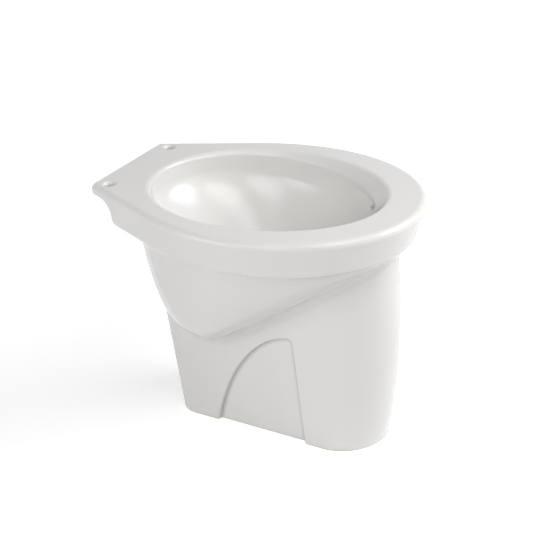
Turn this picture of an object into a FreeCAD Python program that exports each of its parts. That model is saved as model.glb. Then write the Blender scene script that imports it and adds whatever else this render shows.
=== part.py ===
import FreeCAD, Part
import math
import os

from FreeCAD import Vector

# Floor-standing washdown toilet pan of vitreous china, in millimetres.
# X runs across the pan, Y from its front (-Y) towards the wall behind it (+Y), Z up from the floor.
# The origin is on the floor, midway along and across the pan.

# Overall size
PAN_LENGTH = 507.0
PAN_WIDTH = 362.0
PAN_HEIGHT = 390.0

# Rim seen from above
FRONT_REACH = 227.0
FLANK_ANGLE = 23.0
REAR_EDGE_WIDTH = 183.0
REAR_CORNER_RADIUS = 10.0
OPENING_WIDTH = 280.0
OPENING_FRONT_SETBACK = 55.5
OPENING_REAR_SETBACK = 66.5

# Rim in section
FASCIA_HEIGHT = 55.0
FASCIA_TAPER = 4.0
FASCIA_FRONT_UNDERCUT = 11.0
FASCIA_WALL = 11.0
HEEL_WALL = 7.0
RIM_TOP_THICKNESS = 18.0
LIP_HEIGHT = 28.0
LIP_FRONT_RUN = 24.0
LIP_SIDE_RUN = 8.0
LIP_REAR_RUN = 7.0
LIP_WIDE_SHIFT = 19.5
LIP_FRONT_DROP = 20.0
LIP_REAR_DROP = 1.5
LIP_SHOULDER_RADIUS = 10.0
LIP_ROLL_RADIUS = 5.0
LIP_ROLL_STEPS = 4
RIM_TOP_RADIUS = 9.0
RIM_BOTTOM_RADIUS = 6.0

# Seat deck behind the opening
DECK_THICKNESS = 19.0
DECK_OVERHANG = 46.0
DECK_COVE_RADIUS = 20.0
DECK_HEEL_RADIUS = 10.0
SEAT_HOLE_SPACING = 161.0
SEAT_HOLE_SETBACK = 29.0
SEAT_HOLE_DIAMETER = 16.0
SEAT_HOLE_LIP_RADIUS = 5.0

# Bowl
BOWL_WALL = 9.0
BOWL_MOUTH_LENGTH = 61.0
BOWL_MOUTH_WIDTH = 88.0
BOWL_MOUTH_REAR_SETBACK = 232.0
BOWL_SHOULDER_POWER = 1.8
BOWL_TUCK_POWER = 4.0
BOWL_FRONT_POWER = 0.75
BOWL_STEPS = 8
FLUSH_NOTCH_COUNT = 5
FLUSH_NOTCH_WIDTH = 16.0
FLUSH_NOTCH_HEIGHT = 5.0
FLUSH_NOTCH_TURN = 9.0
CHANNEL_FLOOR_THICKNESS = 8.0

# Belly, the outer casing of the bowl
BELLY_STEP = 10.0
BELLY_REAR_SETBACK = 48.0
BELLY_DEPTH = 198.0
BELLY_FULLNESS = 2.3
BELLY_FRONT_FOOT_SETBACK = 302.0
BELLY_FRONT_SHOULDER = 17.5
BELLY_REAR_TUCK = 51.0
BELLY_REAR_POWER = 1.18
BELLY_FOOT_REACH = 18.5
BELLY_SINK = 3.7
BELLY_STEPS = 9
SHELL_WALL = 9.0

# Pedestal
PEDESTAL_WIDTH = 147.0
PEDESTAL_FRONT_SETBACK = 58.5
PEDESTAL_NOSE_GROWTH = 24.0
PEDESTAL_NOSE_HEIGHT = 250.0
PEDESTAL_REAR_SETBACK = 100.5
PEDESTAL_REAR_LEAN = 0.095
PEDESTAL_CORNER_RADIUS = 40.0
PEDESTAL_INNER_CORNER = 16.0
PEDESTAL_TOP_GAP = 5.0
PEDESTAL_STEPS = 6
CREASE_RADIUS = 20.0

# Arched recess on each side of the pedestal
RECESS_DEPTH = 7.0
RECESS_DRAFT = 4.0
RECESS_OVER_BELLY = 47.0
RECESS_FRONT_FOOT_SETBACK = 161.0
RECESS_FRONT_TOP_SETBACK = 174.0
RECESS_PEAK_SETBACK = 187.0
RECESS_REAR_FOOT_SETBACK = 183.0
RECESS_CORNER_RADIUS = 9.0
RECESS_EDGE_RADIUS = 2.5
RECESS_RISE = 0.52
RECESS_RISE_LEAN = 0.23
RECESS_REACH = 0.42
RECESS_REACH_DROP = 0.18
RECESS_CORNER_SHIFT = 0.25
RECESS_CORNER_RISE = 0.8

# Trap
TRAP_BORE = 38.0
TRAP_WIDTH = 92.0
TRAP_WALL = 8.0
WEIR_WALL = 6.0
WEIR_RADIUS = 2.9
WATER_SEAL = 50.0
TRAP_DIP_LEVEL = 127.0
TRAP_DIP_GAP = 2.0
TRAP_OUTLET_LEVEL = 88.0
TRAP_INNER_RADIUS = 6.0
TRAP_HEEL_RADIUS = 34.0

# Outlet
SPIGOT_DIAMETER = 92.0
SPIGOT_BORE = 76.0
SPIGOT_LENGTH = 42.0
SPIGOT_FLOOR_GAP = 4.0
SPIGOT_SETBACK = 164.0
OUTLET_SEAL_DIAMETER = 106.0
OUTLET_SEAL_HEIGHT = 16.0

# Flush inlet
HORN_DIAMETER = 52.0
HORN_BORE = 38.0
HORN_REAR_SETBACK = 10.0
HORN_CROWN = 3.0
HORN_DECK_GAP = 1.0
FLUSH_PIPE_DIAMETER = 32.0
PIPE_SEAL_GRIP = 28.0
PIPE_SEAL_FLANGE = 6.0

# Gaps
LUTE_GAP = 0.3
SEAL_GAP = 0.2

# Places worked out from the sizes above
Y_FRONT = -PAN_LENGTH / 2
Y_REAR = PAN_LENGTH / 2
Y_WIDE = Y_FRONT + FRONT_REACH
Z_FASCIA = PAN_HEIGHT - FASCIA_HEIGHT
Z_LIP = PAN_HEIGHT - LIP_HEIGHT
Z_DECK_UNDER = PAN_HEIGHT - DECK_THICKNESS
Y_RIM_HEEL = Y_REAR - DECK_OVERHANG
OPENING_FRONT = Y_FRONT + OPENING_FRONT_SETBACK
OPENING_REAR = Y_REAR - OPENING_REAR_SETBACK
OPENING_Y = (OPENING_FRONT + OPENING_REAR) / 2
LIP_FRONT = OPENING_FRONT + LIP_FRONT_RUN
LIP_REAR = OPENING_REAR - LIP_REAR_RUN
LIP_WIDTH = OPENING_WIDTH - 2 * LIP_SIDE_RUN
LIP_Y = OPENING_Y + LIP_WIDE_SHIFT
BOWL_MOUTH_FRONT = Y_REAR - BOWL_MOUTH_REAR_SETBACK - BOWL_MOUTH_LENGTH
Z_MOUTH = TRAP_DIP_LEVEL + TRAP_WALL
RECESS_HEIGHT = Z_FASCIA - BELLY_DEPTH + RECESS_OVER_BELLY
RECESS_FRONT_FOOT = Y_FRONT + RECESS_FRONT_FOOT_SETBACK
RECESS_FRONT_TOP = Y_FRONT + RECESS_FRONT_TOP_SETBACK
RECESS_PEAK = Y_FRONT + RECESS_PEAK_SETBACK
RECESS_REAR_FOOT = Y_REAR - RECESS_REAR_FOOT_SETBACK
TRAP_DIP_THICKNESS = BOWL_WALL + TRAP_WALL + TRAP_DIP_GAP
RIM_TOP_SHARE = RIM_TOP_RADIUS / (FASCIA_HEIGHT - RIM_TOP_RADIUS)
CHANNEL_INSET = FASCIA_TAPER + FASCIA_WALL
BELLY_INSET = FASCIA_TAPER + BELLY_STEP
BELLY_FOOT_SHARE = (PEDESTAL_WIDTH / 2 - BELLY_SINK) / (PAN_WIDTH / 2 - BELLY_INSET)
BELLY_LOWEST = BELLY_DEPTH * (1 - BELLY_FOOT_SHARE ** BELLY_FULLNESS) ** (1 / BELLY_FULLNESS)
BELLY_FRONT_TOP_SETBACK = BELLY_INSET + FASCIA_FRONT_UNDERCUT
BELLY_FRONT_FALL = math.hypot(BELLY_LOWEST, BELLY_FRONT_SHOULDER) - BELLY_FRONT_SHOULDER
BELLY_FRONT_SLOPE = (BELLY_FRONT_FOOT_SETBACK - BELLY_FRONT_TOP_SETBACK) / BELLY_FRONT_FALL
BELLY_WIDE_FOOT = Y_FRONT + BELLY_FRONT_FOOT_SETBACK + BELLY_FOOT_REACH
HORN_Z = Z_DECK_UNDER - HORN_DECK_GAP - HORN_DIAMETER / 2
SIDES = (-1, 1)

# How far cutting shapes run past the faces that they cut, and how near counts as the same place
WAY_OUT = 40.0
CUT_MARGIN = 1.0
TOUCH = 0.01
SAME_OVAL = 0.02


def quarter(half_width, reach, y, z, across, along):
    """A quarter of an ellipse from the widest place on one side to the tip in front or behind."""
    circle = Part.Circle(Vector(0, 0, 0), Vector(0, 0, 1), 1.0)
    edge = Part.ArcOfCircle(circle, 0.0, math.pi / 2).toShape()
    placed = FreeCAD.Matrix()
    placed.scale(across * half_width, along * reach, 1.0)
    placed.move(Vector(0, y, z))
    return edge.transformGeometry(placed)


def egg(z, half_width, front, wide, rear):
    """A closed egg outline at one level, widest at y = wide."""
    turns = ((1, -1), (-1, -1), (-1, 1), (1, 1))
    reach = {-1: wide - front, 1: rear - wide}
    edges = [quarter(half_width, reach[along], wide, z, across, along) for across, along in turns]
    return Part.Wire(Part.__sortEdges__(edges))


def loft(wires, ruled=False):
    """A solid through a stack of closed outlines."""
    return Part.makeLoft(wires, True, ruled)


def box(low, high):
    """A box between two corners."""
    size = high - low
    return Part.makeBox(size.x, size.y, size.z, low)


def cylinder(radius, start, axis, length):
    """A cylinder from its start along an axis."""
    return Part.makeCylinder(radius, length, start, axis)


def mirrored(shape):
    """The same shape on the other side of the pan."""
    return shape.mirror(Vector(0, 0, 0), Vector(1, 0, 0))


def prism_across(face, width):
    """A face drawn in the YZ plane, thickened evenly to both sides."""
    return face.translated(Vector(-width / 2, 0, 0)).extrude(Vector(width, 0, 0))


def level_edges(shape, level, wanted):
    """The flat edges of a shape at one level that pass a test on their middle point."""
    found = []
    for edge in shape.Edges:
        box_of_edge = edge.BoundBox
        if abs(box_of_edge.ZMin - level) < TOUCH and abs(box_of_edge.ZMax - level) < TOUCH:
            if wanted(edge.valueAt((edge.FirstParameter + edge.LastParameter) / 2)):
                found.append(edge)
    return found


def rim_outline(inset, z, undercut):
    """The rim's plan outline drawn in by an inset, and by a further undercut at the front tip."""
    turn = math.radians(FLANK_ANGLE)
    half_width = PAN_WIDTH / 2
    run = math.tan(turn) * (Y_REAR - Y_WIDE) - (half_width - REAR_EDGE_WIDTH / 2)
    side_radius = run / (1 / math.cos(turn) - 1)
    centre_x = half_width - side_radius
    radius = side_radius - inset
    rear = Y_REAR - inset

    def on_arc(angle, side):
        return Vector(side * (centre_x + radius * math.cos(angle)), Y_WIDE + radius * math.sin(angle), z)

    edges = []
    corners = {}
    for side in SIDES:
        start, middle, end = (on_arc(turn * part, side) for part in (0.0, 0.5, 1.0))
        corners[side] = Vector(end.x - side * math.tan(turn) * (rear - end.y), rear, z)
        edges.append(quarter(half_width - inset, FRONT_REACH - inset - undercut, Y_WIDE, z, side, -1))
        edges.append(Part.Arc(start, middle, end).toShape())
        edges.append(Part.LineSegment(end, corners[side]).toShape())
    edges.append(Part.LineSegment(corners[1], corners[-1]).toShape())
    return Part.Wire(Part.__sortEdges__(edges))


def opening_outline(z):
    """The rim's oval opening where the flat top ends."""
    return egg(z, OPENING_WIDTH / 2, OPENING_FRONT, OPENING_Y, OPENING_REAR)


def lip_outline(grow, z):
    """The oval of the rim's lip, below the slope, grown by an offset."""
    return egg(z, LIP_WIDTH / 2 + grow, LIP_FRONT - grow, LIP_Y, LIP_REAR + grow)


def roll_offset(run, drop, share):
    """How far the lip's roll stands out from its upright wall and below the slope's foot."""
    lean = math.atan2(drop, run)
    turn = share * (math.pi / 2 - lean)
    reach = LIP_ROLL_RADIUS * math.tan((math.pi / 2 - lean) / 2)
    return LIP_ROLL_RADIUS * (1 - math.cos(turn)), reach - LIP_ROLL_RADIUS * math.sin(turn)


def roll_outline(share):
    """The lip's oval along its roll, from the upright wall at 0 to the slope at 1, lowest in front."""
    side_drop = (LIP_FRONT_DROP + LIP_REAR_DROP) / 2
    front_out, front_down = roll_offset(LIP_FRONT_RUN, LIP_FRONT_DROP, share)
    rear_out, rear_down = roll_offset(LIP_REAR_RUN, LIP_REAR_DROP, share)
    side_out = roll_offset(LIP_SIDE_RUN, side_drop, share)[0]
    front = LIP_FRONT - front_out
    rear = LIP_REAR + rear_out
    front_z = PAN_HEIGHT - LIP_FRONT_DROP - front_down
    rear_z = PAN_HEIGHT - LIP_REAR_DROP - rear_down
    tilt = FreeCAD.Matrix()
    tilt.A32 = (rear_z - front_z) / (rear - front)
    tilt.A34 = front_z - tilt.A32 * front
    return egg(0.0, LIP_WIDTH / 2 + side_out, front, LIP_Y, rear).transformGeometry(tilt)


def on_opening(point):
    """Whether a point stands on the opening's oval, seen from above."""
    reach = (OPENING_REAR - OPENING_FRONT) / 2
    return abs(math.hypot(2 * point.x / OPENING_WIDTH, (point.y - OPENING_Y) / reach) - 1.0) < SAME_OVAL


def deck_relief():
    """What is cut away below the seat deck, behind the flushing channel, with a cove and a rounded heel."""
    far = Y_REAR + WAY_OUT
    low = Z_FASCIA - WAY_OUT
    cove = Vector(0, Y_RIM_HEEL + DECK_COVE_RADIUS, Z_DECK_UNDER - DECK_COVE_RADIUS)
    heel = Vector(0, Y_RIM_HEEL - DECK_HEEL_RADIUS, Z_FASCIA + DECK_HEEL_RADIUS)
    diagonal = math.sqrt(0.5)
    points = [
        Vector(0, far, Z_DECK_UNDER),
        Vector(0, cove.y, Z_DECK_UNDER),
        Vector(0, Y_RIM_HEEL, cove.z),
        Vector(0, Y_RIM_HEEL, heel.z),
        Vector(0, heel.y, Z_FASCIA),
        Vector(0, heel.y, low),
        Vector(0, far, low),
    ]
    cove_middle = cove + Vector(0, -diagonal, diagonal) * DECK_COVE_RADIUS
    heel_middle = heel + Vector(0, diagonal, -diagonal) * DECK_HEEL_RADIUS
    edges = [
        Part.LineSegment(points[0], points[1]).toShape(),
        Part.Arc(points[1], cove_middle, points[2]).toShape(),
        Part.LineSegment(points[2], points[3]).toShape(),
        Part.Arc(points[3], heel_middle, points[4]).toShape(),
        Part.LineSegment(points[4], points[5]).toShape(),
        Part.LineSegment(points[5], points[6]).toShape(),
        Part.LineSegment(points[6], points[0]).toShape(),
    ]
    return prism_across(Part.Face(Part.Wire(edges)), PAN_WIDTH)


def horn_passage():
    """The round way through the rear of the rim and shell for the inlet horn."""
    start = Vector(0, LIP_REAR + BOWL_WALL, HORN_Z)
    return cylinder(HORN_DIAMETER / 2 + LUTE_GAP, start, Vector(0, 1, 0), WAY_OUT)


def lower_edges(block):
    """The rim's lower outer edge all round: along the fascia, up the cove and along the deck."""
    found = []
    for edge in block.Edges:
        span = edge.BoundBox
        middle = edge.valueAt((edge.FirstParameter + edge.LastParameter) / 2)
        upright = span.ZLength > 3 * math.hypot(span.XLength, span.YLength)
        at_heel = abs(middle.y - Y_RIM_HEEL) < FASCIA_TAPER
        across = span.YLength < TOUCH and abs(middle.x) < TOUCH and middle.y < Y_REAR - 2 * FASCIA_TAPER
        if span.ZMax < PAN_HEIGHT - CUT_MARGIN and not across and (at_heel or not upright):
            found.append(edge)
    return found


def rim_ring():
    """The flushing rim: an inverted channel with a rolled lip, a fascia and the seat deck."""
    foot = rim_outline(FASCIA_TAPER, Z_FASCIA, FASCIA_FRONT_UNDERCUT)
    top = rim_outline(-FASCIA_TAPER * RIM_TOP_SHARE, PAN_HEIGHT, -FASCIA_FRONT_UNDERCUT * RIM_TOP_SHARE)
    block = loft([foot, top], ruled=True)
    corner_limit = Y_REAR - 2 * FASCIA_TAPER
    corners = [edge for edge in block.Edges
               if edge.BoundBox.ZLength > FASCIA_HEIGHT / 2 and edge.BoundBox.YMin > corner_limit]
    block = block.makeFillet(REAR_CORNER_RADIUS, corners)
    block = block.cut(deck_relief())
    block = block.makeFillet(RIM_BOTTOM_RADIUS, lower_edges(block))
    block = block.makeFillet(RIM_TOP_RADIUS, level_edges(block, PAN_HEIGHT, lambda point: True))

    wall = loft([lip_outline(0.0, Z_FASCIA), roll_outline(0.0)], ruled=True)
    roll = loft([roll_outline(step / LIP_ROLL_STEPS) for step in range(LIP_ROLL_STEPS + 1)])
    slope = loft([roll_outline(1.0), opening_outline(PAN_HEIGHT)], ruled=True)
    ring = block.cut(slope.fuse([roll, wall]))
    ring = ring.makeFillet(LIP_SHOULDER_RADIUS, level_edges(ring, PAN_HEIGHT, on_opening))

    channel_roof = PAN_HEIGHT - RIM_TOP_THICKNESS
    channel = Part.Face(rim_outline(CHANNEL_INSET, Z_FASCIA, FASCIA_FRONT_UNDERCUT))
    channel = channel.extrude(Vector(0, 0, channel_roof - Z_FASCIA))
    rear_stop = Y_RIM_HEEL - HEEL_WALL
    channel = channel.cut(box(Vector(-PAN_WIDTH, rear_stop, 0), Vector(PAN_WIDTH, Y_REAR, PAN_HEIGHT)))
    core = Part.Face(lip_outline(BOWL_WALL, Z_FASCIA)).extrude(Vector(0, 0, FASCIA_HEIGHT))
    ring = ring.cut(channel.cut(core))
    below_lip = Part.Face(lip_outline(BOWL_WALL, Z_FASCIA)).extrude(Vector(0, 0, Z_LIP - Z_FASCIA))
    ring = ring.cut(below_lip)

    hole_length = DECK_THICKNESS + DECK_COVE_RADIUS
    for side in SIDES:
        start = Vector(side * SEAT_HOLE_SPACING / 2, Y_REAR - SEAT_HOLE_SETBACK, PAN_HEIGHT - hole_length)
        ring = ring.cut(cylinder(SEAT_HOLE_DIAMETER / 2, start, Vector(0, 0, 1), hole_length))
    hole_limit = SEAT_HOLE_DIAMETER + CUT_MARGIN
    lips = [edge for edge in level_edges(ring, PAN_HEIGHT, lambda point: True)
            if edge.BoundBox.XLength < hole_limit and edge.BoundBox.YLength < hole_limit
            and edge.BoundBox.XLength > SEAT_HOLE_DIAMETER - CUT_MARGIN]
    ring = ring.makeFillet(SEAT_HOLE_LIP_RADIUS, lips)
    return ring.cut(horn_passage())


def flush_channel_floor():
    """The flat strip that closes the flushing channel from below."""
    rise = Vector(0, 0, CHANNEL_FLOOR_THICKNESS)
    plate = Part.Face(rim_outline(CHANNEL_INSET + LUTE_GAP, Z_FASCIA, FASCIA_FRONT_UNDERCUT)).extrude(rise)
    rear_stop = Y_RIM_HEEL - HEEL_WALL - LUTE_GAP
    plate = plate.cut(box(Vector(-PAN_WIDTH, rear_stop, 0), Vector(PAN_WIDTH, Y_REAR, PAN_HEIGHT)))
    hole = Part.Face(lip_outline(BOWL_WALL + LUTE_GAP, Z_FASCIA)).extrude(rise)
    return plate.cut(hole).cut(horn_passage())


def bowl_section(z, wall):
    """The bowl's outline at one level, on its inner face for a wall of 0 or its outer face."""
    share = min(max((Z_LIP - z) / (Z_LIP - Z_MOUTH), 0.0), 1.0)
    top_half = LIP_WIDTH / 2
    mouth_middle = BOWL_MOUTH_FRONT + BOWL_MOUTH_LENGTH / 2
    mouth_rear = BOWL_MOUTH_FRONT + BOWL_MOUTH_LENGTH
    spread = (1 - share ** BOWL_SHOULDER_POWER) ** BOWL_TUCK_POWER
    half = BOWL_MOUTH_WIDTH / 2 + (top_half - BOWL_MOUTH_WIDTH / 2) * spread
    front = LIP_FRONT + (BOWL_MOUTH_FRONT - LIP_FRONT) * share ** BOWL_FRONT_POWER
    rear = mouth_rear + (LIP_REAR - mouth_rear) * spread
    wide = LIP_Y + (mouth_middle - LIP_Y) * share
    return egg(z, half + wall, front - wall, wide, rear + wall)


def bowl():
    """The bowl: a funnel from the rim lip down to the trap mouth, notched in front for the flush."""
    levels = [Z_LIP + (Z_MOUTH - Z_LIP) * step / BOWL_STEPS for step in range(BOWL_STEPS + 1)]
    outer = loft([bowl_section(z, BOWL_WALL) for z in levels])
    inner = loft([bowl_section(z, 0.0) for z in levels])
    shell = outer.cut(inner)
    reach = LIP_Y - LIP_FRONT + BOWL_WALL
    for count in range(FLUSH_NOTCH_COUNT):
        turn = FLUSH_NOTCH_TURN * (count - (FLUSH_NOTCH_COUNT - 1) / 2)
        notch = box(Vector(-FLUSH_NOTCH_WIDTH / 2, -reach - WAY_OUT, Z_LIP - FLUSH_NOTCH_HEIGHT),
                    Vector(FLUSH_NOTCH_WIDTH / 2, 0, Z_LIP + CUT_MARGIN))
        notch.rotate(Vector(0, 0, 0), Vector(0, 0, 1), turn)
        notch.translate(Vector(0, LIP_Y, 0))
        shell = shell.cut(notch)
    return shell


def belly_section(z, wall):
    """The belly's outline at one level: egg shaped, tucked under towards the rear."""
    depth = Z_FASCIA - z
    fullness = (depth / BELLY_DEPTH) ** BELLY_FULLNESS
    half = (PAN_WIDTH / 2 - BELLY_INSET) * (1 - fullness) ** (1 / BELLY_FULLNESS)
    shoulder = math.hypot(depth, BELLY_FRONT_SHOULDER) - BELLY_FRONT_SHOULDER
    front = Y_FRONT + BELLY_FRONT_TOP_SETBACK + BELLY_FRONT_SLOPE * shoulder
    rear = Y_REAR - BELLY_REAR_SETBACK - BELLY_REAR_TUCK * (depth / BELLY_LOWEST) ** BELLY_REAR_POWER
    wide = Y_WIDE + (BELLY_WIDE_FOOT - Y_WIDE) * depth / BELLY_LOWEST
    return egg(z, half - wall, front + wall * math.hypot(1.0, BELLY_FRONT_SLOPE), wide, rear - wall)


def belly(wall):
    """The belly as one solid, full size or drawn in by the shell's wall."""
    lowest = BELLY_LOWEST - wall
    levels = [Z_FASCIA - lowest * step / BELLY_STEPS for step in range(BELLY_STEPS + 1)]
    return loft([belly_section(z, wall) for z in levels])


def pedestal_outline(z, half_width, nose_reach, rear, corner):
    """The pedestal's plan: an oval nose, straight sides and a rear with rounded corners."""
    nose_y = Y_FRONT + PEDESTAL_FRONT_SETBACK + PEDESTAL_WIDTH / 2
    corner_y = rear - corner
    diagonal = math.sqrt(0.5)
    edges = []
    for side in SIDES:
        nose_end = Vector(side * half_width, nose_y, z)
        flank_end = Vector(side * half_width, corner_y, z)
        corner_x = half_width - corner
        turn_middle = Vector(side * (corner_x + corner * diagonal), corner_y + corner * diagonal, z)
        turn_end = Vector(side * corner_x, rear, z)
        edges.append(quarter(half_width, nose_reach, nose_y, z, side, -1))
        edges.append(Part.LineSegment(nose_end, flank_end).toShape())
        edges.append(Part.Arc(flank_end, turn_middle, turn_end).toShape())
        edges.append(Part.LineSegment(turn_end, Vector(0, rear, z)).toShape())
    return Part.Wire(Part.__sortEdges__(edges))


def pedestal(inset_side, inset_end, corner, top):
    """The pedestal column from the floor up to a level, full size or drawn in."""
    half_width = PEDESTAL_WIDTH / 2 - inset_side

    def outline(z):
        share = min(z / PEDESTAL_NOSE_HEIGHT, 1.0)
        nose_reach = half_width + PEDESTAL_NOSE_GROWTH * share * (2 - share)
        rear = Y_REAR - PEDESTAL_REAR_SETBACK + PEDESTAL_REAR_LEAN * z - inset_end
        return pedestal_outline(z, half_width, nose_reach, rear, corner)

    return loft([outline(top * step / PEDESTAL_STEPS) for step in range(PEDESTAL_STEPS + 1)])


def recess_face(x, shrink):
    """The arched recess's outline on a plane across X, drawn in by a draft."""
    low = -WAY_OUT
    rear_foot = Vector(x, RECESS_REAR_FOOT - shrink, 0)
    front_foot = Vector(x, RECESS_FRONT_FOOT + shrink, 0)
    peak = Vector(x, RECESS_PEAK, RECESS_HEIGHT - shrink)
    front_lean = (RECESS_FRONT_TOP - RECESS_FRONT_FOOT) / RECESS_HEIGHT
    front_top = Vector(x, RECESS_FRONT_TOP + shrink - front_lean * RECESS_CORNER_RADIUS,
                       RECESS_HEIGHT - shrink - RECESS_CORNER_RADIUS)
    rise = RECESS_RISE * RECESS_HEIGHT
    reach = RECESS_REACH * (RECESS_REAR_FOOT - RECESS_PEAK)
    arch = Part.BezierCurve()
    arch.setPoles([
        rear_foot,
        rear_foot + Vector(0, -RECESS_RISE_LEAN * rise, rise),
        peak + Vector(0, reach, -RECESS_REACH_DROP * reach),
        peak,
    ])
    corner_middle = Vector(x, front_top.y + RECESS_CORNER_SHIFT * RECESS_CORNER_RADIUS,
                           front_top.z + RECESS_CORNER_RISE * RECESS_CORNER_RADIUS)
    edges = [
        Part.LineSegment(Vector(x, rear_foot.y, low), rear_foot).toShape(),
        arch.toShape(),
        Part.Arc(peak, corner_middle, front_top).toShape(),
        Part.LineSegment(front_top, front_foot).toShape(),
        Part.LineSegment(front_foot, Vector(x, front_foot.y, low)).toShape(),
        Part.LineSegment(Vector(x, front_foot.y, low), Vector(x, rear_foot.y, low)).toShape(),
    ]
    return Part.Wire(edges)


def recess():
    """The solid that is taken out of one side of the pedestal."""
    face_x = PEDESTAL_WIDTH / 2
    slope = RECESS_DRAFT / RECESS_DEPTH
    return loft([recess_face(face_x - RECESS_DEPTH, RECESS_DRAFT),
                 recess_face(face_x + RECESS_DEPTH, -RECESS_DRAFT * slope)], ruled=True)


def recess_edges(casing):
    """The outer edges of both recesses, on the pedestal's flat sides."""
    found = []
    for edge in casing.Edges:
        span = edge.BoundBox
        middle = edge.valueAt((edge.FirstParameter + edge.LastParameter) / 2)
        on_flank = span.XLength < TOUCH and abs(abs(middle.x) - PEDESTAL_WIDTH / 2) < TOUCH
        in_reach = RECESS_FRONT_FOOT - RECESS_DEPTH < middle.y < RECESS_REAR_FOOT + RECESS_DEPTH
        if on_flank and in_reach and span.ZLength > CUT_MARGIN and span.ZMax < RECESS_HEIGHT + RECESS_DEPTH:
            found.append(edge)
    return found


def pedestal_shell():
    """The outer casing: belly and pedestal in one casting, hollow and open at the foot."""
    top = Z_FASCIA - PEDESTAL_TOP_GAP
    casing = belly(0.0).fuse(pedestal(0.0, 0.0, PEDESTAL_CORNER_RADIUS, top)).removeSplitter()
    lowest_crease = (Z_FASCIA - BELLY_DEPTH) / 2
    crease = [edge for edge in casing.Edges
              if edge.BoundBox.ZMin > lowest_crease and edge.BoundBox.ZMax < Z_FASCIA - CUT_MARGIN]
    casing = casing.makeFillet(CREASE_RADIUS, crease)
    cut_one = recess()
    casing = casing.cut(cut_one).cut(mirrored(cut_one))
    casing = casing.makeFillet(RECESS_EDGE_RADIUS, recess_edges(casing))
    hollow_side = RECESS_DEPTH + SHELL_WALL
    hollow_top = top - SHELL_WALL
    hollow = belly(SHELL_WALL).fuse(pedestal(hollow_side, SHELL_WALL, PEDESTAL_INNER_CORNER, hollow_top))
    return casing.cut(hollow).cut(horn_passage())


def trap_profile():
    """The waterway of the trap seen from the side: basin, riser, crown over the weir, and down leg."""
    floor = TRAP_DIP_LEVEL - TRAP_BORE
    basin_front = BOWL_MOUTH_FRONT
    dip_front = BOWL_MOUTH_FRONT + BOWL_MOUTH_LENGTH
    riser_front = dip_front + TRAP_DIP_THICKNESS
    riser_rear = riser_front + TRAP_BORE
    leg_front = riser_rear + WEIR_WALL
    leg_rear = leg_front + TRAP_BORE
    weir = TRAP_DIP_LEVEL + WATER_SEAL
    crown = weir + TRAP_BORE
    return [
        (basin_front, TRAP_DIP_LEVEL, 0.0),
        (basin_front, floor, TRAP_BORE / 2),
        (riser_rear, floor, TRAP_HEEL_RADIUS),
        (riser_rear, weir, WEIR_RADIUS),
        (leg_front, weir, WEIR_RADIUS),
        (leg_front, TRAP_OUTLET_LEVEL, 0.0),
        (leg_rear, TRAP_OUTLET_LEVEL, 0.0),
        (leg_rear, crown, TRAP_BORE),
        (riser_front, crown, TRAP_BORE),
        (riser_front, TRAP_DIP_LEVEL, TRAP_INNER_RADIUS),
        (dip_front, TRAP_DIP_LEVEL, 0.0),
    ]


def rounded_wire(corners):
    """A closed outline in the YZ plane through corners, each given as y, z and its rounding radius."""
    count = len(corners)
    runs = []
    for index in range(count):
        y, z, radius = corners[index]
        here = Vector(0, y, z)
        before = Vector(0, *corners[index - 1][:2])
        after = Vector(0, *corners[(index + 1) % count][:2])
        if radius == 0.0:
            runs.append((here, None, here))
            continue
        to_before = (before - here).normalize()
        to_after = (after - here).normalize()
        half_angle = to_before.getAngle(to_after) / 2
        cut = radius / math.tan(half_angle)
        bisector = (to_before + to_after).normalize()
        middle = here + bisector * (radius / math.sin(half_angle) - radius)
        runs.append((here + to_before * cut, middle, here + to_after * cut))
    edges = []
    for index in range(count):
        start, middle, end = runs[index]
        if middle is not None:
            edges.append(Part.Arc(start, middle, end).toShape())
        following = runs[(index + 1) % count][0]
        if end.distanceToPoint(following) > TOUCH:
            edges.append(Part.LineSegment(end, following).toShape())
    return Part.Wire(edges)


def trapway():
    """The S-trap: a duct that holds the water seal, with a flat top where the bowl stands on it."""
    waterway = Part.Face(rounded_wire(trap_profile()))
    body = waterway.makeOffset2D(TRAP_WALL, join=0, fill=False)
    duct = prism_across(Part.Face(body.Wires[0]), TRAP_WIDTH + 2 * TRAP_WALL)
    far = PAN_LENGTH
    duct = duct.cut(box(Vector(-far, -far, 0), Vector(far, far, TRAP_OUTLET_LEVEL - TRAP_BORE)))
    leg_front = trap_profile()[5][0] - TRAP_WALL
    duct = duct.cut(box(Vector(-far, leg_front - CUT_MARGIN, 0), Vector(far, far, TRAP_OUTLET_LEVEL)))
    duct = duct.cut(prism_across(waterway, TRAP_WIDTH))
    mouth_middle = BOWL_MOUTH_FRONT + BOWL_MOUTH_LENGTH / 2
    mouth_rear = BOWL_MOUTH_FRONT + BOWL_MOUTH_LENGTH
    mouth_low = TRAP_DIP_LEVEL - CUT_MARGIN
    mouth = egg(mouth_low, BOWL_MOUTH_WIDTH / 2, BOWL_MOUTH_FRONT, mouth_middle, mouth_rear)
    return duct.cut(Part.Face(mouth).extrude(Vector(0, 0, TRAP_WALL + 2 * CUT_MARGIN)))


def square_wire(z, y, half_x, half_y):
    """A rectangle at one level, drawn from corner to corner."""
    corners = [Vector(half_x, y - half_y, z), Vector(half_x, y + half_y, z),
               Vector(-half_x, y + half_y, z), Vector(-half_x, y - half_y, z)]
    edges = [Part.LineSegment(corners[turn], corners[(turn + 1) % 4]).toShape() for turn in range(4)]
    return Part.Wire(edges)


def round_wire(z, y, radius):
    """A circle at one level in four arcs, which start where a rectangle has its corners."""
    def point(turn):
        angle = math.pi / 4 * turn
        return Vector(radius * math.cos(angle), y + radius * math.sin(angle), z)

    edges = [Part.Arc(point(turn), point(turn + 1), point(turn + 2)).toShape() for turn in (-1, 1, 3, 5)]
    return Part.Wire(edges)


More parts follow.
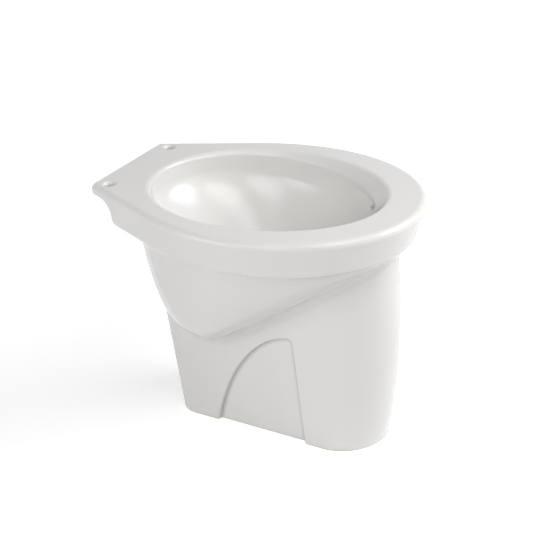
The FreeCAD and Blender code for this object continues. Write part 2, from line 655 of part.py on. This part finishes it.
def outlet_spigot():
    """The round spigot below the trap, blended from the trap's flat leg to a round pipe."""
    leg_front = trap_profile()[5][0]
    leg_middle = leg_front + TRAP_BORE / 2
    low = SPIGOT_FLOOR_GAP
    pipe_top = low + SPIGOT_LENGTH
    pipe_y = Y_REAR - SPIGOT_SETBACK

    def body(leg_half_x, leg_half_y, radius):
        blend = loft([
            round_wire(pipe_top, pipe_y, radius),
            square_wire(TRAP_OUTLET_LEVEL, leg_middle, leg_half_x, leg_half_y),
        ], ruled=True)
        return blend.fuse(cylinder(radius, Vector(0, pipe_y, low), Vector(0, 0, 1), SPIGOT_LENGTH))

    outer = body(TRAP_WIDTH / 2 + TRAP_WALL, TRAP_BORE / 2 + TRAP_WALL, SPIGOT_DIAMETER / 2)
    inner = body(TRAP_WIDTH / 2, TRAP_BORE / 2, SPIGOT_BORE / 2)
    return outer.cut(inner).removeSplitter()


def outlet_seal():
    """The rubber ring round the spigot, standing on the floor."""
    centre = Vector(0, Y_REAR - SPIGOT_SETBACK, 0)
    ring = cylinder(OUTLET_SEAL_DIAMETER / 2, centre, Vector(0, 0, 1), OUTLET_SEAL_HEIGHT)
    return ring.cut(cylinder(SPIGOT_DIAMETER / 2 + SEAL_GAP, centre, Vector(0, 0, 1), OUTLET_SEAL_HEIGHT))


def inlet_horn():
    """The flush inlet: a tube under the deck, open in front and to both arms of the channel."""
    back = Vector(0, 1, 0)
    front_y = LIP_REAR + BOWL_WALL + LUTE_GAP
    rear_y = Y_REAR - HORN_REAR_SETBACK
    tube = cylinder(HORN_DIAMETER / 2, Vector(0, front_y, HORN_Z), back, rear_y - front_y)
    tube = tube.cut(cylinder(HORN_BORE / 2, Vector(0, front_y, HORN_Z), back, rear_y - front_y))
    window_low = Z_FASCIA + CHANNEL_FLOOR_THICKNESS
    window_rear = Y_RIM_HEEL - HEEL_WALL
    window = box(Vector(-HORN_DIAMETER, front_y - CUT_MARGIN, window_low),
                 Vector(HORN_DIAMETER, window_rear, HORN_Z + HORN_BORE / 2 - HORN_CROWN))
    return tube.cut(window)


def flush_pipe_seal():
    """The rubber sleeve in the horn that grips the flush pipe, with a flange behind it."""
    back = Vector(0, 1, 0)
    rear_y = Y_REAR - HORN_REAR_SETBACK
    start = Vector(0, rear_y - PIPE_SEAL_GRIP, HORN_Z)
    plug = cylinder(HORN_BORE / 2 - SEAL_GAP, start, back, PIPE_SEAL_GRIP)
    flange = cylinder(HORN_DIAMETER / 2, Vector(0, rear_y, HORN_Z), back, PIPE_SEAL_FLANGE)
    bore = cylinder(FLUSH_PIPE_DIAMETER / 2, start, back, PIPE_SEAL_GRIP + PIPE_SEAL_FLANGE)
    return plug.fuse(flange).cut(bore).removeSplitter()


PIECES = {
    "rim_ring": rim_ring,
    "flush_channel_floor": flush_channel_floor,
    "bowl": bowl,
    "pedestal_shell": pedestal_shell,
    "trapway": trapway,
    "outlet_spigot": outlet_spigot,
    "outlet_seal": outlet_seal,
    "inlet_horn": inlet_horn,
    "flush_pipe_seal": flush_pipe_seal,
}

os.makedirs("parts", exist_ok=True)
for name, make in PIECES.items():
    shape = make()
    solids = shape.Solids
    print(name, "valid", shape.isValid(), "solids", len(solids), "volume", round(shape.Volume))
    solids[0].exportStep(os.path.join("parts", name + ".step"))
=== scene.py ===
import logging
import math
from dataclasses import dataclass, field
from enum import Enum

import bmesh
import bpy
from mathutils import Matrix, Vector

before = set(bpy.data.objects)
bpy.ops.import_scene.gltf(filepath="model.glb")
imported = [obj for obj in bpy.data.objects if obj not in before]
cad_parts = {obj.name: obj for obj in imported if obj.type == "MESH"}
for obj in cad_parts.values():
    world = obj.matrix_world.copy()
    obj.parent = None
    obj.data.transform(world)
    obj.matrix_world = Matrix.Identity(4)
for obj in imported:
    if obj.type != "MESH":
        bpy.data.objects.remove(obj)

LOG = logging.getLogger("pan")
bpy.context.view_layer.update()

# Sockets of the colour mix node, which repeats its input names for each kind of value
MIX_FACTOR = 0
MIX_FIRST = 6
MIX_SECOND = 7
MIX_RESULT = 2

WHITE = "FFFFFF"
MM_PER_M = 1000.0

# A lamp's cloth runs from 0 to 1 both ways
CLOTH_MIDDLE = (0.5, 0.5, 0.0)
CLOTH_EDGE = 0.5


class CadNode(Enum):
    """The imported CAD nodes, by their names in the frame."""

    RIM = "rim_ring"
    CHANNEL_FLOOR = "flush_channel_floor"
    BOWL = "bowl"
    PEDESTAL = "pedestal_shell"
    TRAP = "trapway"
    SPIGOT = "outlet_spigot"
    HORN = "inlet_horn"
    OUTLET_SEAL = "outlet_seal"
    PIPE_SEAL = "flush_pipe_seal"


def linear(code: str) -> tuple[float, float, float, float]:
    """Turns an sRGB hex colour into linear light.

    Args:
        code: six hex digits, red first.

    Returns:
        Red, green, blue and an alpha of 1.
    """
    parts = [int(code[start:start + 2], 16) / 255.0 for start in (0, 2, 4)]
    light = [part / 12.92 if part <= 0.04045 else ((part + 0.055) / 1.055) ** 2.4 for part in parts]
    return light[0], light[1], light[2], 1.0


def per_metre(size_mm: float) -> float:
    """Gives a texture scale whose pattern repeats about once in a real size in millimetres."""
    return MM_PER_M / size_mm


def outward(azimuth_deg: float, elevation_deg: float) -> Vector:
    """Gives the direction from the pan to a camera or lamp.

    Args:
        azimuth_deg: turn round the pan, 0 in front of it and 90 on its +X side.
        elevation_deg: height above the floor's level.

    Returns:
        A vector of length 1.
    """
    around = math.radians(azimuth_deg)
    above = math.radians(elevation_deg)
    level = math.cos(above)
    return Vector((math.sin(around) * level, -math.cos(around) * level, math.sin(above)))


def add_node(
    tree: bpy.types.NodeTree, kind: str, settings: dict | None = None, links: dict | None = None
) -> bpy.types.Node:
    """Adds one shader node with its settings and links.

    Args:
        tree: the node tree that takes the node.
        kind: the node's type.
        settings: values by attribute name, or by the name or place of an input.
        links: output sockets by the name or place of the input that they feed.

    Returns:
        The new node.
    """
    node = tree.nodes.new(kind)
    for name, value in (settings or {}).items():
        if isinstance(name, str) and name not in node.inputs:
            setattr(node, name, value)
        else:
            node.inputs[name].default_value = value
    for name, source in (links or {}).items():
        tree.links.new(source, node.inputs[name])
    return node


def empty_material(name: str) -> bpy.types.Material:
    """Makes a node material with an empty tree.

    Args:
        name: the real material's name.

    Returns:
        The new material.
    """
    material = bpy.data.materials.new(name)
    material.use_nodes = True
    material.node_tree.nodes.clear()
    return material


@dataclass(frozen=True)
class VitreousChina:
    """Vitreous china, slip cast, sprayed with a white opaque glaze and fired."""

    name: str = "vitreous_china_white_glaze"
    glaze: str = "E9E7E4"
    glaze_thick: str = "E4E3E1"
    # Grey of the painted shade in tight corners and recesses
    painted_corner_shade: str = "D0CECA"
    biscuit: str = "CFC8BC"
    ior: float = 1.52
    roughness_low: float = 0.05
    roughness_high: float = 0.10
    biscuit_roughness: float = 0.75
    drift_mm: float = 140.0
    ripple_mm: float = 22.0
    ripple_height_mm: float = 0.03
    polish_mm: float = 60.0
    shade_reach_mm: float = 8.0
    shade_tight: float = 0.84
    shade_open: float = 0.97
    shade_rays: int = 16
    bare_foot_mm: float = 0.4
    wiped_foot_mm: float = 2.5

    def make(self) -> bpy.types.Material:
        """Builds the finish.

        Returns:
            The material for every clay piece.
        """
        # The eye sees a warm white, mirror-bright skin that waves a little, as melted glaze does, a tone
        # that drifts where the glaze ran thicker, painted shade as a grey line in tight corners, and a matt
        # biscuit edge at the foot where it was wiped off.
        material = empty_material(self.name)
        tree = material.node_tree
        place = add_node(tree, "ShaderNodeTexCoord").outputs["Object"]
        drift = add_node(tree, "ShaderNodeTexNoise",
                         {"Scale": per_metre(self.drift_mm), "Detail": 2.0, "Roughness": 0.45},
                         {"Vector": place})
        tone = add_node(tree, "ShaderNodeMix",
                        {"data_type": "RGBA", MIX_FIRST: linear(self.glaze),
                         MIX_SECOND: linear(self.glaze_thick)},
                        {MIX_FACTOR: drift.outputs["Fac"]})
        height = add_node(tree, "ShaderNodeSeparateXYZ", links={"Vector": place})
        foot = add_node(tree, "ShaderNodeMapRange",
                        {"From Min": self.bare_foot_mm / MM_PER_M,
                         "From Max": self.wiped_foot_mm / MM_PER_M, "To Min": 1.0, "To Max": 0.0},
                        {"Value": height.outputs["Z"]})
        # Painted shade: an occlusion test greys the glaze in tight corners and recesses, where shade falls
        corner = add_node(tree, "ShaderNodeAmbientOcclusion",
                          {"Distance": self.shade_reach_mm / MM_PER_M, "samples": self.shade_rays,
                           "only_local": True})
        shade_mask = add_node(tree, "ShaderNodeMapRange",
                        {"From Min": self.shade_tight, "From Max": self.shade_open,
                         "To Min": 1.0, "To Max": 0.0},
                        {"Value": corner.outputs["AO"]})
        shaded_tone = add_node(tree, "ShaderNodeMix",
                       {"data_type": "RGBA", MIX_SECOND: linear(self.painted_corner_shade)},
                       {MIX_FACTOR: shade_mask.outputs["Result"], MIX_FIRST: tone.outputs[MIX_RESULT]})
        colour = add_node(tree, "ShaderNodeMix",
                          {"data_type": "RGBA", MIX_SECOND: linear(self.biscuit)},
                          {MIX_FACTOR: foot.outputs["Result"], MIX_FIRST: shaded_tone.outputs[MIX_RESULT]})
        polish = add_node(tree, "ShaderNodeTexNoise",
                          {"Scale": per_metre(self.polish_mm), "Detail": 3.0}, {"Vector": place})
        gloss = add_node(tree, "ShaderNodeMapRange",
                         {"To Min": self.roughness_low, "To Max": self.roughness_high},
                         {"Value": polish.outputs["Fac"]})
        rough = add_node(tree, "ShaderNodeMapRange",
                         {"To Max": self.biscuit_roughness},
                         {"Value": foot.outputs["Result"], "To Min": gloss.outputs["Result"]})
        ripple = add_node(tree, "ShaderNodeTexNoise",
                          {"Scale": per_metre(self.ripple_mm), "Detail": 1.0, "Roughness": 0.4},
                          {"Vector": place})
        bump = add_node(tree, "ShaderNodeBump",
                        {"Strength": 1.0, "Distance": self.ripple_height_mm / MM_PER_M},
                        {"Height": ripple.outputs["Fac"]})
        shader = add_node(tree, "ShaderNodeBsdfPrincipled", {"IOR": self.ior},
                          {"Base Color": colour.outputs[MIX_RESULT], "Roughness": rough.outputs["Result"],
                           "Normal": bump.outputs["Normal"]})
        add_node(tree, "ShaderNodeOutputMaterial", links={"Surface": shader.outputs["BSDF"]})
        return material


@dataclass(frozen=True)
class SealRubber:
    """Black EPDM rubber, moulded, with a fine matt skin."""

    name: str = "moulded_epdm_rubber"
    skin: str = "232324"
    bloom: str = "3A3A3B"
    ior: float = 1.5
    roughness_low: float = 0.55
    roughness_high: float = 0.8
    bloom_mm: float = 12.0
    grain_mm: float = 1.4
    grain_height_mm: float = 0.08
    grain_strength: float = 0.6

    def make(self) -> bpy.types.Material:
        """Builds the finish.

        Returns:
            The material for both seals.
        """
        # The eye sees a near-black matt skin with a grey bloom in patches. The mould's grain is finer than
        # a millimetre, and is drawn a little coarser so that it shows.
        material = empty_material(self.name)
        tree = material.node_tree
        place = add_node(tree, "ShaderNodeTexCoord").outputs["Object"]
        bloom = add_node(tree, "ShaderNodeTexNoise", {"Scale": per_metre(self.bloom_mm), "Detail": 4.0},
                         {"Vector": place})
        colour = add_node(tree, "ShaderNodeMix",
                          {"data_type": "RGBA", MIX_FIRST: linear(self.skin),
                           MIX_SECOND: linear(self.bloom)},
                          {MIX_FACTOR: bloom.outputs["Fac"]})
        rough = add_node(tree, "ShaderNodeMapRange",
                         {"To Min": self.roughness_low, "To Max": self.roughness_high},
                         {"Value": bloom.outputs["Fac"]})
        grain = add_node(tree, "ShaderNodeTexNoise", {"Scale": per_metre(self.grain_mm), "Detail": 2.0},
                         {"Vector": place})
        bump = add_node(tree, "ShaderNodeBump",
                        {"Strength": self.grain_strength, "Distance": self.grain_height_mm / MM_PER_M},
                        {"Height": grain.outputs["Fac"]})
        shader = add_node(tree, "ShaderNodeBsdfPrincipled", {"IOR": self.ior},
                          {"Base Color": colour.outputs[MIX_RESULT], "Roughness": rough.outputs["Result"],
                           "Normal": bump.outputs["Normal"]})
        add_node(tree, "ShaderNodeOutputMaterial", links={"Surface": shader.outputs["BSDF"]})
        return material


@dataclass
class SubAssembly:
    """CAD nodes that keep their shape and share one finish."""

    title: str
    nodes: tuple[CadNode, ...]
    finish: VitreousChina | SealRubber

    def dress(self) -> None:
        """Gives every material slot of the nodes the finish."""
        material = self.finish.make()
        for node in self.nodes:
            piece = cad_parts[node.value]
            for slot in piece.material_slots:
                slot.material = material
            LOG.info("%s: %s wears %s", self.title, node.value, material.name)


@dataclass
class PhotoCamera:
    """The camera that took the photograph, fitted to the pan's outline."""

    azimuth_deg: float = -57.95
    elevation_deg: float = 27.59
    roll_deg: float = -3.87
    distance_m: float = 1.939
    focal_px: float = 1261.9
    frame_px: float = 560.0
    middle_px: tuple[float, float] = (280.3, 280.6)
    target_m: tuple[float, float, float] = (0.0, -0.0201, 0.2360)
    sensor_mm: float = 36.0
    sight_m: float = 20.0

    def place(self) -> None:
        """Makes the camera and gives it to the scene."""
        roll = math.radians(self.roll_deg)
        back = outward(self.azimuth_deg, self.elevation_deg)
        level = (-back).cross(Vector((0.0, 0.0, 1.0))).normalized()
        upright = level.cross(-back)
        right = level * math.cos(roll) + upright * math.sin(roll)
        up = upright * math.cos(roll) - level * math.sin(roll)
        data = bpy.data.cameras.new("photo_camera")
        data.sensor_width = self.sensor_mm
        data.lens = self.focal_px / self.frame_px * self.sensor_mm
        data.shift_x = -(self.middle_px[0] - self.frame_px / 2) / self.frame_px
        data.shift_y = (self.middle_px[1] - self.frame_px / 2) / self.frame_px
        data.clip_end = self.sight_m
        camera = bpy.data.objects.new("photo_camera", data)
        bpy.context.scene.collection.objects.link(camera)
        turned = Matrix((right, up, back)).transposed().to_4x4()
        camera.matrix_world = Matrix.Translation(Vector(self.target_m) + back * self.distance_m) @ turned
        bpy.context.scene.camera = camera


@dataclass(frozen=True)
class AreaLamp:
    """One soft lamp of the studio."""

    name: str
    azimuth_deg: float
    elevation_deg: float
    width_m: float
    height_m: float
    watts: float
    distance_m: float = 2.4
    aim_m: tuple[float, float, float] = (0.0, 0.0, 0.3)
    core_share: float = 0.1

    def soften(self, data: bpy.types.AreaLight) -> None:
        """Lets the lamp's cloth fade from its middle to its edges.

        Args:
            data: the lamp.
        """
        data.use_nodes = True
        tree = data.node_tree
        tree.nodes.clear()
        cloth = add_node(tree, "ShaderNodeNewGeometry").outputs["Parametric"]
        away = add_node(tree, "ShaderNodeVectorMath",
                        {"operation": "DISTANCE", 1: CLOTH_MIDDLE}, {0: cloth})
        fade = add_node(tree, "ShaderNodeMapRange",
                        {"interpolation_type": "SMOOTHSTEP", "From Min": self.core_share,
                         "From Max": CLOTH_EDGE, "To Min": 1.0, "To Max": 0.0},
                        {"Value": away.outputs["Value"]})
        glow = add_node(tree, "ShaderNodeEmission", links={"Strength": fade.outputs["Result"]})
        add_node(tree, "ShaderNodeOutputLight", links={"Surface": glow.outputs["Emission"]})

    def hang(self) -> None:
        """Makes the lamp and turns it to its aim."""
        data = bpy.data.lights.new(self.name, "AREA")
        data.shape = "RECTANGLE"
        data.size = self.width_m
        data.size_y = self.height_m
        data.energy = self.watts
        self.soften(data)
        way = outward(self.azimuth_deg, self.elevation_deg)
        lamp = bpy.data.objects.new(self.name, data)
        lamp.location = Vector(self.aim_m) + way * self.distance_m
        lamp.rotation_euler = (-way).to_track_quat("-Z", "Y").to_euler()
        bpy.context.scene.collection.objects.link(lamp)


@dataclass
class Studio:
    """The white floor, the white surroundings and the soft lamps."""

    floor_reach_m: float = 12.0
    floor_colour: str = "F0F0F0"
    floor_glow: float = 0.5
    shadow_reach_m: float = 0.7
    white_reach_m: float = 2.6
    ambient: float = 0.12
    lamps: tuple[AreaLamp, ...] = field(default=(
        AreaLamp("front_cloth", 30.0, 32.0, 2.6, 2.4, 140.0),
        AreaLamp("upper_cloth", -30.0, 54.0, 2.2, 2.2, 50.0),
        AreaLamp("left_cloth", -90.0, 32.0, 2.2, 2.2, 46.0),
        AreaLamp("rear_cloth", -120.0, 10.0, 2.2, 2.2, 40.0),
    ))

    def background_ray(self, tree: bpy.types.NodeTree) -> bpy.types.NodeSocket:
        """Adds the test for rays that should meet a plain white background.

        Args:
            tree: the node tree that takes the nodes.

        Returns:
            A socket that is 1 for camera, glossy and transmission rays.
        """
        path = add_node(tree, "ShaderNodeLightPath")
        seen = add_node(tree, "ShaderNodeMath", {"operation": "MAXIMUM"},
                        {0: path.outputs["Is Camera Ray"], 1: path.outputs["Is Glossy Ray"]})
        both = add_node(tree, "ShaderNodeMath", {"operation": "MAXIMUM"},
                        {0: seen.outputs["Value"], 1: path.outputs["Is Transmission Ray"]})
        return both.outputs["Value"]

    def light_world(self) -> None:
        """Makes the surroundings white to the eye and softer as a light."""
        world = bpy.data.worlds.new("white_surroundings")
        world.use_nodes = True
        tree = world.node_tree
        tree.nodes.clear()
        strength = add_node(tree, "ShaderNodeMapRange", {"To Min": self.ambient, "To Max": 1.0},
                            {"Value": self.background_ray(tree)})
        sky = add_node(tree, "ShaderNodeBackground", {"Color": linear(WHITE)},
                       {"Strength": strength.outputs["Result"]})
        add_node(tree, "ShaderNodeOutputWorld", links={"Surface": sky.outputs["Background"]})
        bpy.context.scene.world = world

    def floor_material(self) -> bpy.types.Material:
        """Builds the paper floor.

        Returns:
            A pale matt material that glows to the eye up to white and keeps the pan's shadow.
        """
        # The eye sees plain white paper that the pan's soft shadow darkens. The glow grows away from the
        # pan, where the lamps no longer reach.
        material = empty_material("white_paper_floor")
        tree = material.node_tree
        paper = add_node(tree, "ShaderNodeBsdfDiffuse", {"Color": linear(self.floor_colour)})
        place = add_node(tree, "ShaderNodeTexCoord").outputs["Object"]
        away = add_node(tree, "ShaderNodeVectorMath", {"operation": "LENGTH"}, {0: place})
        rise = add_node(tree, "ShaderNodeMapRange",
                        {"From Min": self.shadow_reach_m, "From Max": self.white_reach_m,
                         "To Min": self.floor_glow, "To Max": 1.0},
                        {"Value": away.outputs["Value"]})
        strength = add_node(tree, "ShaderNodeMath", {"operation": "MULTIPLY"},
                            {0: rise.outputs["Result"], 1: self.background_ray(tree)})
        glow = add_node(tree, "ShaderNodeEmission", {"Color": linear(WHITE)},
                        {"Strength": strength.outputs["Value"]})
        both = add_node(tree, "ShaderNodeAddShader",
                        links={0: paper.outputs["BSDF"], 1: glow.outputs["Emission"]})
        add_node(tree, "ShaderNodeOutputMaterial", links={"Surface": both.outputs["Shader"]})
        return material

    def lay_floor(self) -> None:
        """Lays the floor under the pan."""
        mesh = bpy.data.meshes.new("paper_floor")
        shape = bmesh.new()
        bmesh.ops.create_grid(shape, x_segments=1, y_segments=1, size=self.floor_reach_m)
        shape.to_mesh(mesh)
        shape.free()
        floor = bpy.data.objects.new("paper_floor", mesh)
        floor.data.materials.append(self.floor_material())
        bpy.context.scene.collection.objects.link(floor)

    def build(self) -> None:
        """Builds the whole studio and sets plain colour handling."""
        self.light_world()
        self.lay_floor()
        for lamp in self.lamps:
            lamp.hang()
        bpy.context.scene.view_settings.view_transform = "Standard"


def main() -> None:
    """Builds the studio, the camera and each sub-assembly in order."""
    logging.basicConfig(level=logging.INFO, format="%(name)s %(message)s")
    PhotoCamera().place()
    Studio().build()
    china = (CadNode.RIM, CadNode.CHANNEL_FLOOR, CadNode.BOWL, CadNode.PEDESTAL, CadNode.TRAP,
             CadNode.SPIGOT, CadNode.HORN)
    SubAssembly("cast body", china, VitreousChina()).dress()
    SubAssembly("seals", (CadNode.OUTLET_SEAL, CadNode.PIPE_SEAL), SealRubber()).dress()


if __name__ == "__main__":
    main()
